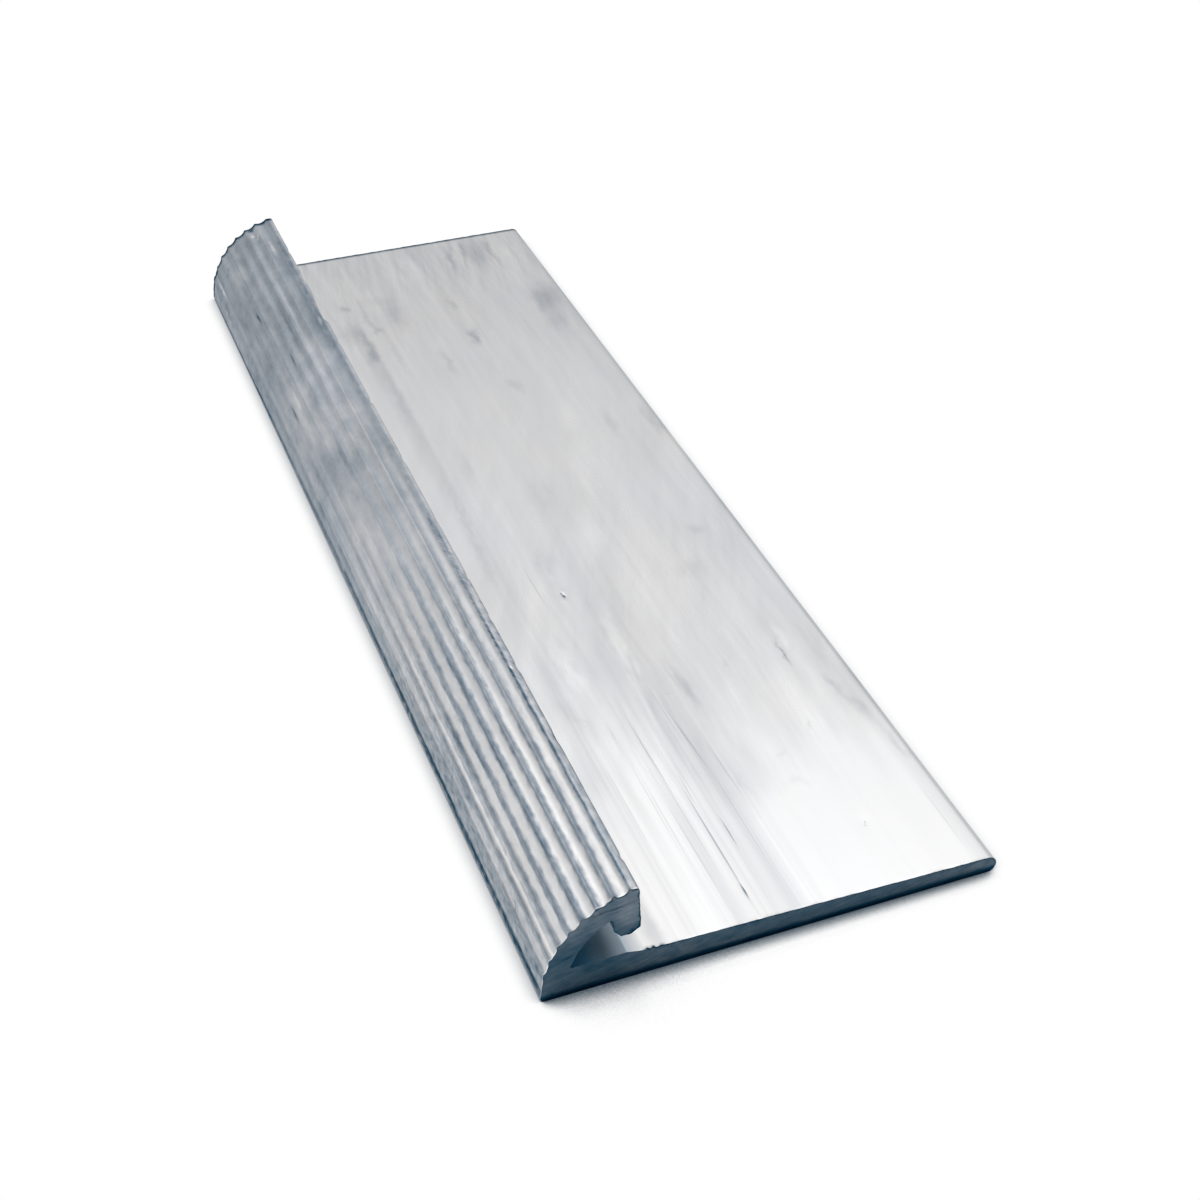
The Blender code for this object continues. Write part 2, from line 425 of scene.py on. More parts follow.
# Points inside a cut face, on rows that follow the saw's strokes
def facePoints(rim, end):
    step = meshing["faceSpacing"]
    jitter = meshing["faceJitter"] * step
    fromRim, fromStroke = meshing["rimClearance"] * step, meshing["strokeClearance"] * step
    strokes = []
    if end == 0:
        for *line, _ in wear["sawSteps"]:
            for aside in (-wear["sawStepReach"], 0.0, wear["sawStepReach"]):
                strokes += [place * mm for place in sawStepPlaces(*line, aside)]
    points = list(strokes)
    for row in range(int(meshing["faceTop"] / step) + 1):
        for place in range(int(section["width"] / step) + 1):
            x = (place + 0.5 * (row % 2)) * step + swing("jitterX", (row, place, end), jitter)
            z = (row + 0.5) * step + swing("jitterZ", (row, place, 5.0 + end), jitter)
            spot = Vector((x, z))
            clear = min((spot - p).length_squared for p in rim) > fromRim ** 2
            if clear and insideOutline(x, z, rim):
                if all((spot - p).length_squared > fromStroke ** 2 for p in strokes):
                    points.append(spot)
    return points


# How dark the rim of a cut is drawn, by stretch: 1 is darkest; along the bottom, beside the floor, it is
# painted shade
rimDark = {
    "nose": 0.25, "lip": 1, "channel": 0, "foot": 0.8, "flange": 0.75, "scratch": 0.75, "edge": 0.7,
    "underside": 1,
    "noseTop": (0.6, 3.5, 2),  # how much darker the nose's rim gets, from which crest and over how many
    "hook": (8.2, 8, 0.6),  # the lip's rim inside this x and below this z, and its level
}


def rimDarkness(x, z, name):
    if name == "nose":
        more, start, over = rimDark["noseTop"]
        return rimDark["nose"] + more * ease((fluteIndex(x, z) - start) / over)
    hookX, hookZ, hookLevel = rimDark["hook"]
    if name == "lip" and x < hookX and z < hookZ:
        return hookLevel
    return rimDark[name]


def buildTrim(name):
    columns = outlineColumns()
    rings = ringPlaces()
    halfWidth, halfLength = 0.5 * section["width"], 0.5 * section["length"]
    hookTop = fluteTop() - meshing["lipFaces"]
    vertices, faces, zones, dark = [], [], [], []
    for ring, along in enumerate(rings):
        end = 0 if ring < len(rings) / 2 else 1
        fromEnd = min(along, section["length"] - along) / mm
        fade = max(0.0, 1.0 - fromEnd / wear["burrLength"]) ** 2
        for x, z, stretch, normal in columns:
            off = skinRelief(x / mm, z / mm, stretch, along / mm)
            if fade:
                off += fade * burrHeight(x / mm, z / mm, stretch, end)
            place = Vector((x, z)) + normal * off * mm
            if stretch == "lip":
                place -= Vector(wear["chipLean"]) * chipDepth(x / mm, z / mm, along / mm) * mm
            vertices.append((place.x - halfWidth, along - halfLength, max(0.0, place.y)))
            dark.append(rimDarkness(x / mm, z / mm, stretch))
    count = len(columns)
    for ring in range(len(rings) - 1):
        for i in range(count):
            j = (i + 1) % count
            a, b = ring * count, (ring + 1) * count
            faces.append((a + i, b + i, b + j, a + j))
            x, z, stretch, normal = columns[i]
            if stretch == "lip" and z < hookTop:
                zones.append("outerFace" if normal.x > meshing["outerFacing"] else "hook")
            else:
                zones.append(stretch)
    for end, first in ((0, 0), (1, (len(rings) - 1) * count)):
        rim = [Vector((vertices[first + i][0] + halfWidth, vertices[first + i][2])) for i in range(count)]
        inner = facePoints(rim, end)
        border = [(i, (i + 1) % count) for i in range(count)]
        made = geometry.delaunay_2d_cdt(rim + inner, border, [], 1, meshing["facePrecision"])
        places = []
        for place, sources in zip(made[0], made[3]):
            onRim = [source for source in sources if source < count]
            if onRim:
                places.append(first + onRim[0])
                continue
            off = sawRelief(place.x / mm, place.y / mm, end) * mm
            y = -halfLength - off if end == 0 else halfLength + off
            places.append(len(vertices))
            vertices.append((place.x - halfWidth, y, place.y))
            dark.append(0.0)
        for face in made[2]:
            face = [places[i] for i in face]
            faces.append(tuple(face if end == 0 else reversed(face)))
            zones.append("cut")
    mesh = bpy.data.meshes.new(name)
    mesh.from_pydata(vertices, [], faces)
    mesh.polygons.foreach_set("material_index", [list(finishes).index(zoneFinish[zone]) for zone in zones])
    mesh.attributes.new("rimDark", "FLOAT", "POINT").data.foreach_set("value", dark)
    mesh.update()
    mesh.shade_smooth()
    mesh.set_sharp_from_angle(angle=meshing["sharpAngle"])
    trim = bpy.data.objects.new(name, mesh)
    bpy.context.collection.objects.link(trim)
    return trim


# Nodes go into the tree that was opened last
wiring = {}


def addNode(kind, inputs=None, **settings):
    made = wiring["tree"].nodes.new(kind)
    for key, value in settings.items():
        setattr(made, key, value)
    for key, value in (inputs or {}).items():
        if isinstance(value, bpy.types.NodeSocket):
            wiring["tree"].links.new(value, made.inputs[key])
        else:
            made.inputs[key].default_value = value
    return made


def calc(operation, *values):
    return addNode("ShaderNodeMath", dict(enumerate(values)), operation=operation).outputs[0]


def calcVector(operation, *values):
    return addNode("ShaderNodeVectorMath", dict(enumerate(values)), operation=operation).outputs[0]


def addUp(*values):
    total = values[0]
    for value in values[1:]:
        total = calc("ADD", total, value)
    return total


def times(*values):
    total = values[0]
    for value in values[1:]:
        total = calc("MULTIPLY", total, value)
    return total


def blend(share, first, second):
    return addNode("ShaderNodeMix", {0: share, 2: first, 3: second}).outputs[0]


# Where a point is in mm: X from the heel, Y from the near end, Z from the floor
def placeOnTrim():
    local = addNode("ShaderNodeTexCoord").outputs["Object"]
    shift = (0.5 * section["width"] / mm, 0.5 * section["length"] / mm, 0.0)
    return calcVector("MULTIPLY_ADD", local, (1.0 / mm, 1.0 / mm, 1.0 / mm), shift)


def apart(vector):
    return addNode("ShaderNodeSeparateXYZ", {0: vector}).outputs


def together(x, y=0.0, z=0.0):
    return addNode("ShaderNodeCombineXYZ", {0: x, 1: y, 2: z}).outputs[0]


# Noise about zero. In the looks below, each grain is (repeats per mm, strength, detail, seed),
# and each ragged edge is (repeats per mm, reach, detail, seed)
def grain(place, repeats, strength, detail, seed):
    scaled = calcVector("MULTIPLY_ADD", place, repeats, (seed, seed, seed))
    value = addNode("ShaderNodeTexNoise", {"Vector": scaled, "Scale": 1.0, "Detail": detail})
    return calc("MULTIPLY_ADD", value.outputs["Fac"], 4.0 * strength, -2.0 * strength)


# The place, moved about by noise so that what is drawn there gets uneven edges
def ragged(place, repeats, reach, detail, seed):
    scaled = calcVector("MULTIPLY_ADD", place, repeats, (seed, seed, seed))
    push = addNode("ShaderNodeTexNoise", {"Vector": scaled, "Scale": 1.0, "Detail": detail})
    back = calcVector("SUBTRACT", place, tuple(2.0 * value for value in reach))
    return calcVector("MULTIPLY_ADD", push.outputs["Color"], tuple(4.0 * value for value in reach), back)


# 0 at the first limit and 1 at the second
def between(value, first, last):
    return addNode("ShaderNodeMapRange", {0: value, 1: first, 2: last, 3: 0.0, 4: 1.0}).outputs[0]


def colourRamp(level, steps):
    ramp = addNode("ShaderNodeValToRGB", {0: level})
    colours = ramp.color_ramp.elements
    while len(colours) < len(steps):
        colours.new(0.5)
    for colour, (place, value) in zip(colours, steps):
        colour.position = place
        colour.color = (*value, 1.0)
    return ramp.outputs["Color"]


# A level that follows (place, level) steps along a value, straight between them
def follow(value, steps):
    levels = [level for _, level in steps]
    first, last, lowest, span = steps[0][0], steps[-1][0], min(levels), max(levels) - min(levels)
    shares = [((place - first) / (last - first), [(level - lowest) / span] * 3) for place, level in steps]
    return calc("MULTIPLY_ADD", colourRamp(between(value, first, last), shares), span, lowest)


# A grain of a look, stronger or weaker along the trim
def grainAlong(look, kind, place, y):
    return times(grain(place, *look[kind]), follow(y, look[kind + "Along"]))


# Soft-edged marks: each is (u, v, reach in u, reach in v, lean to +u in degrees, strength)
def marks(place, places):
    total = 0.0
    turned = {}
    for u, v, reachU, reachV, lean, strength in places:
        angle = math.radians(lean)
        if lean not in turned:
            inputs = {"Vector": place, "Rotation": (0.0, 0.0, angle)}
            turned[lean] = addNode("ShaderNodeMapping", inputs).outputs[0]
        middleU = (u * math.cos(angle) - v * math.sin(angle)) / reachU
        middleV = (u * math.sin(angle) + v * math.cos(angle)) / reachV
        around = calcVector("MULTIPLY_ADD", turned[lean], (1.0 / reachU, 1.0 / reachV, 0.0),
                            (-middleU, -middleV, 0.0))
        distance = addNode("ShaderNodeVectorMath", {0: around}, operation="LENGTH").outputs["Value"]
        level = addNode("ShaderNodeMapRange", {0: distance, 1: 0.0, 2: 1.0, 3: strength, 4: 0.0},
                        interpolation_type="SMOOTHSTEP").outputs[0]
        total = calc("ADD", total, level)
    return total


# Bare metal darkens to blue-grey and then to navy as its level rises; the levels stand for a film of oxide
# and soot and also for painted shade
tarnishAndShadeRamp = [
    (0, (0.9, 0.9, 0.9)), (0.2, (0.655, 0.66, 0.675)), (0.4, (0.372, 0.41, 0.455)),
    (0.6, (0.14, 0.195, 0.25)), (0.7, (0.056, 0.115, 0.158)), (0.8, (0.013, 0.052, 0.083)),
    (1, (0.001, 0.01, 0.03)),
]
# Inside the channel, where the level is partly dirt and partly painted shade, it is greener, and never as
# dark
channelDirtAndShadeRamp = [
    (0, (0.9, 0.9, 0.9)), (0.25, (0.6, 0.63, 0.67)), (0.5, (0.44, 0.62, 0.72)), (0.75, (0.14, 0.38, 0.54)),
    (1, (0.02, 0.14, 0.26)),
]
# On the cuts, where the level is mostly painted shade, it is bluer
cutShadeRamp = [
    (0, (0.9, 0.9, 0.9)), (0.4, (0.372, 0.41, 0.455)), (0.6, (0.146, 0.19, 0.23)),
    (0.7, (0.066, 0.108, 0.146)), (0.8, (0.01, 0.056, 0.098)), (1, (0, 0.01, 0.036)),
]
# Where the level is high, from film and painted shade alike, the metal doesn't go white at a grazing angle
# either
darkLevelEdge = [(0, (1, 1, 1)), (0.56, (1, 1, 1)), (0.72, (0.46, 0.53, 0.6)), (1, (0.46, 0.53, 0.6))]
# Patches of the film are a little warmer or bluer than the rest
hues = {
    "warm": (1.008, 1, 0.988, 1),
    "cool": (0.985, 0.998, 1.02, 1),
    "patch": ((0.1, 0.05, 0.15), 0.5, 3, 31),
}


# The level given here carries film and dirt and also painted shade and highlights, coloured by the ramp
def finishMaterial(name, filmAndShadeLevel, roughness, height, heightScale, filmAndShade=tarnishAndShadeRamp, edge=None):
    tree = wiring["tree"]
    surface = tree.nodes["Principled BSDF"]
    surface.inputs["Metallic"].default_value = 1.0
    metal = colourRamp(filmAndShadeLevel, filmAndShade)
    if edge:
        tree.links.new(colourRamp(filmAndShadeLevel, edge), surface.inputs["Specular Tint"])
    share = calc("ADD", grain(placeOnTrim(), *hues["patch"]), 0.5)
    mixed = {0: share, 6: hues["warm"], 7: hues["cool"]}
    hue = addNode("ShaderNodeMix", mixed, data_type="RGBA").outputs[2]
    tinted = addNode("ShaderNodeMix", {0: 1.0, 6: metal, 7: hue}, data_type="RGBA",
                     blend_type="MULTIPLY").outputs[2]
    tree.links.new(tinted, surface.inputs["Base Color"])
    tree.links.new(roughness, surface.inputs["Roughness"])
    bump = addNode("ShaderNodeBump", {"Height": height, "Distance": heightScale, "Strength": 1.0})
    tree.links.new(bump.outputs["Normal"], surface.inputs["Normal"])
    print("finish made:", name)


def newMaterial(name):
    material = bpy.data.materials.new(name)
    material.use_nodes = True
    wiring["tree"] = material.node_tree


# The top of the flange: pale by the near end and darker beyond, partly smoke and partly painted shade towards
# the far end, drawn in lines along the lip
flangeLook = {
    # the base level along the length: smoke, and painted shade that darkens the top towards the far end
    "filmAndShade": [
        (0, 0), (20, 0), (27, 0.06), (34, 0.105), (42, 0.135), (60, 0.13), (85, 0.115), (105, 0.115),
        (125, 0.15), (153, 0.175),
    ],
    "filmAndShadeEdge": ((0.1, 0.05, 0), (3, 7, 0), 5, 2),  # how the film's edges wander
    "filmAndShadeLater": [(12, -4), (16, -3), (20, -2), (24, 0), (28, 5), (31, 5), (37, 1.5), (48, 1.5)],
    "sway": [(0, 0), (45, 3), (100, 21), (153, 27)],  # how the smoke leans across, in mm
    "smoke": ((0.15, 0.028, 0), 0.065, 4, 7),
    "wisp": ((0.6, 0.1, 0), 0.036, 3.5, 17),
    "smokeAlong": [(0, 0.05), (14, 0.15), (26, 1), (60, 1), (80, 0.7), (105, 0.6), (125, 0.8), (153, 0.8)],
    "bundle": [
        (10, 0.05), (11.2, 0.12), (12.4, 0.16), (12.9, 0.05), (14, 0.06), (15.4, 0.05), (17, 0.03), (18.2, 0),
        (19.4, 0), (20.3, 0.1), (21.2, 0.06), (23, 0.05), (24.2, 0.09), (25.5, 0.08), (26.8, 0.09),
        (27.8, 0.03), (28.8, 0.02), (30, 0),
    ],
    "bundleAlong": [(0, 1), (22, 1), (36, 0.35), (60, 0.1), (75, 0)],
    "bundleLine": ((1.5, 0.014, 0), 0.065, 3, 4.5),
    "bundleLevels": (0.02, -0.04),  # added to its lines, and the lowest level they may have
    "bundleEnds": ((1.3, 0, 0), 7, 1, 4),  # how unevenly its lines end, in mm
    "lineAcross": [(12, 0.5), (15, 1), (28, 1), (30, 0.15), (48, 0.1)],
    "bent": ((0.03, 0.02, 0), (1.2, 0, 0), 2, 6),
    "longLine": ((0.7, 0.018, 0), 0.026, 3, 14),
    "fineLine": ((1.8, 0.03, 0), 0.012, 1.5, 24),
    # crossing strokes at the far end: how they lean, and their grain
    "hatch": [(-0.16, ((1, 0.07, 0), 0.045, 2, 27)), (0.07, ((0.8, 0.06, 0), 0.045, 2, 37))],
    "hatchAlong": [(112, 0), (132, 0.5), (142, 1), (153, 1)],
    "edgeStrip": [(44.9, 0), (45.9, 0.07), (47, 0.08)],
    "stripAlong": [(0, 1), (26, 1), (36, 0), (153, 0.2)],
    # painted shade on the rounded edge at the flange's tip
    "roundEdgeShade": [(47, 0), (47.25, 0.25), (47.6, 0.38)],
    "lipShadowStrip": [(14.6, 0), (15.6, 0.04), (16.8, 0.05), (17.4, 0)],  # a painted shadow in a strip along the lip
    "lipShadowAlong": [(25, 0), (40, 0.4), (60, 0.8), (125, 1.4), (140, 0)],
    "farLine": [(151.6, 0), (152, 0.3), (152.2, 0.55), (152.4, 0.75)],
    "roughness": 0.3,
    "roughLines": 0.4,  # how much of the lines and of the smoke goes into the roughness
    "roughSmoke": 0.8,
    "fine": ((1.4, 0.04, 1), 1, 1, 1),
    "bump": 0.0004 * mm,
    "smudges": [
        (16, 136, 1.1, 1.6, 0, 0.13), (14.8, 127.5, 3, 4.5, 8, 0.07), (16.6, 124, 1.1, 8.5, -3, 0.11),
        (16, 120.5, 1.6, 3.2, 10, 0.08), (18.4, 131, 1, 6.5, -3, 0.09), (19, 127.7, 1.1, 1.5, 0, 0.09),
        (22.4, 131.5, 1.9, 6.5, 3, 0.09), (21, 136.5, 5, 2.4, 10, 0.04), (30.9, 131.5, 0.9, 3.4, -2, 0.09),
        (31.2, 121.3, 1.2, 3.6, 4, 0.16), (25.6, 115.5, 1, 6, -2, 0.09), (32.2, 106, 1.2, 3, -12, 0.07),
        (44.4, 128.3, 3.3, 7.5, 14, 0.15), (42.6, 131, 2, 4.5, 0, 0.06), (43.2, 121.5, 2.6, 4.5, 20, 0.07),
        (35, 145.5, 1, 7.5, 4, 0.11), (39.2, 146.5, 3.2, 8, 6, 0.08), (41.3, 145.5, 0.8, 8.5, -4, 0.09),
        (37.6, 148.5, 0.6, 5, 6, 0.09), (44, 144, 1.6, 9, 0, -0.05), (28.5, 146, 1.4, 8, 4, -0.04),
        (16.6, 108, 1, 16, 1.5, 0.05), (16, 74, 0.7, 22, 2.5, 0.05), (19.6, 122, 0.6, 14, 0, 0.04),
        (46.2, 91, 1.3, 6, 0, 0.09), (40.9, 92, 1, 5.5, 4, 0.06), (41.6, 65, 1.7, 2.1, 0, 0.07),
        (38.2, 57, 2.8, 3, 0, 0.05), (26.4, 78, 2.4, 8, 16, 0.05), (22.2, 64, 2, 6.5, 14, 0.06),
        (20, 88, 1.2, 7, 8, 0.04), (33.5, 84, 2.2, 9, 14, -0.04), (29, 68, 2.6, 9, 16, -0.05),
        (24.8, 45, 1.2, 11, 3, -0.1), (18.2, 43, 1.3, 8, -2, -0.08), (36, 96, 3, 6, 12, -0.03),
        (42.6, 40.5, 1, 3.5, 0, -0.07), (41.5, 38.2, 0.4, 4, 1, 0.11), (34.8, 38, 0.5, 1.6, 0, 0.05),
        (38.8, 25.5, 0.35, 1.5, 4, 0.07), (34.3, 21.8, 0.6, 0.6, 0, 0.05), (34, 17.3, 2, 1.2, 0, 0.04),
        (44.2, 31, 0.7, 3.2, -8, 0.09), (45.3, 26, 1, 4.5, -10, 0.08), (46.3, 19.5, 0.8, 4, -6, 0.08),
        # the first mark on the next line, beside the ramp at the near end, is a painted shadow of the lip
        (12, 2.6, 1.4, 4.5, 0, 0.07), (29, 37, 0.9, 8, 0, 0.07), (15.6, 36, 1.6, 5, -12, 0.05),
        (28.6, 19, 0.9, 5, -8, 0.04),
    ],
    "smudgeEdge": ((0.7, 0.4, 0), (0.55, 0.9, 0), 4, 9),
    "scratches": [
        (22.4, 11.5, 0.13, 12, 0, 0.34), (22.4, 4.1, 0.15, 1.5, 0, 0.45), (24.25, 12.5, 0.12, 3.4, 0, 0.32),
        (20.05, 12, 0.14, 11, -0.4, 0.12), (18.7, 20, 0.12, 13, 0.5, 0.11), (16.1, 20, 0.14, 12, 0, 0.1),
        (27.7, 21, 0.12, 9, -0.5, 0.12), (21.1, 25, 0.12, 8, -0.8, 0.12), (41.5, 37.2, 0.16, 2.8, 0.5, 0.19),
        (22.22, 57.1, 0.16, 0.55, -12, 0.8), (22.05, 57.6, 0.22, 0.35, 20, 0.35),
        (37.62, 9, 0.14, 0.5, 20, 0.22), (37.45, 8.6, 0.12, 0.4, -40, 0.2), (45.35, 7.5, 0.14, 8, 0, 0.09),
        (19.6, 60, 0.14, 6, -1, 0.1), (31.3, 120, 0.25, 1.4, -10, 0.1), (19, 15, 0.09, 14, 0.3, 0.12),
        (21, 17, 0.09, 13, -0.3, 0.11), (25.2, 33, 0.12, 9, -0.8, 0.08), (26.2, 15, 0.1, 15, 0.2, 0.11),
        (37, 145.5, 0.3, 6, 9, 0.07), (18.7, 31, 0.2, 4, 1, 0.09), (21.05, 29, 0.16, 6, 0, 0.1),
        (21.32, 23, 0.14, 6, 0.5, -0.1), (22.72, 20, 0.13, 3.5, 1, 0.14), (22.95, 19, 0.14, 5, 0.5, -0.08),
        (25.8, 28.4, 0.16, 8, -2.6, 0.12), (27.55, 22, 0.13, 6, -1, 0.1), (23.85, 34.4, 0.45, 6, 3.6, -0.06),
        (24.85, 41, 0.3, 4.5, 7, 0.06), (29.05, 35.7, 0.9, 5, -3, 0.06), (28.3, 37.4, 0.25, 4, -3, 0.05),
        (26.8, 35.6, 0.8, 0.22, 12, 0.05),
    ],
}


def flangeMaterial(name):
    look = flangeLook
    newMaterial(name)
    place = placeOnTrim()
    x, y = apart(place)[:2]
    wandered = apart(ragged(place, *look["filmAndShadeEdge"]))[1]
    filmAndShade = follow(calc("ADD", wandered, follow(x, look["filmAndShadeLater"])), look["filmAndShade"])
    swept = together(calc("SUBTRACT", x, follow(y, look["sway"])), y)
    smoke = addUp(grain(swept, *look["smoke"]), grain(swept, *look["wisp"]))
    clouds = times(smoke, follow(y, look["smokeAlong"]))
    lineEnd = grain(place, *look["bundleEnds"])
    nearness = follow(calc("ADD", y, lineEnd), look["bundleAlong"])
    lines = grain(place, *look["bundleLine"])
    added, lowest = look["bundleLevels"]
    drawn = calc("MAXIMUM", addUp(lines, added), lowest)
    across = addUp(follow(x, look["bundle"]), times(drawn, follow(x, look["lineAcross"])))
    bundle = times(nearness, across)
    bent = ragged(place, *look["bent"])
    thin = addUp(grain(bent, *look["longLine"]), grain(bent, *look["fineLine"]))
    thin = times(thin, follow(y, look["smokeAlong"]))
    smudges = marks(ragged(place, *look["smudgeEdge"]), look["smudges"])
    strokes = [grain(together(calc("MULTIPLY_ADD", y, lean, x), y), *stroke)
               for lean, stroke in look["hatch"]]
    hatch = times(addUp(*strokes), follow(y, look["hatchAlong"]))
    scratches = marks(place, look["scratches"])
    strip = times(follow(x, look["edgeStrip"]), follow(y, look["stripAlong"]))
    # the painted shadow along the lip, and on the next line painted shade on the tip's rounded edge
    beside = times(follow(x, look["lipShadowStrip"]), follow(y, look["lipShadowAlong"]))
    rim = addUp(strip, beside, follow(x, look["roundEdgeShade"]), follow(y, look["farLine"]))
    level = addUp(filmAndShade, clouds, bundle, thin, smudges, hatch, scratches, rim)
    rough = addUp(times(lines, look["roughLines"]), times(clouds, look["roughSmoke"]),
                  look["roughness"])
    finishMaterial(name, level, rough, grain(place, *look["fine"]), look["bump"])
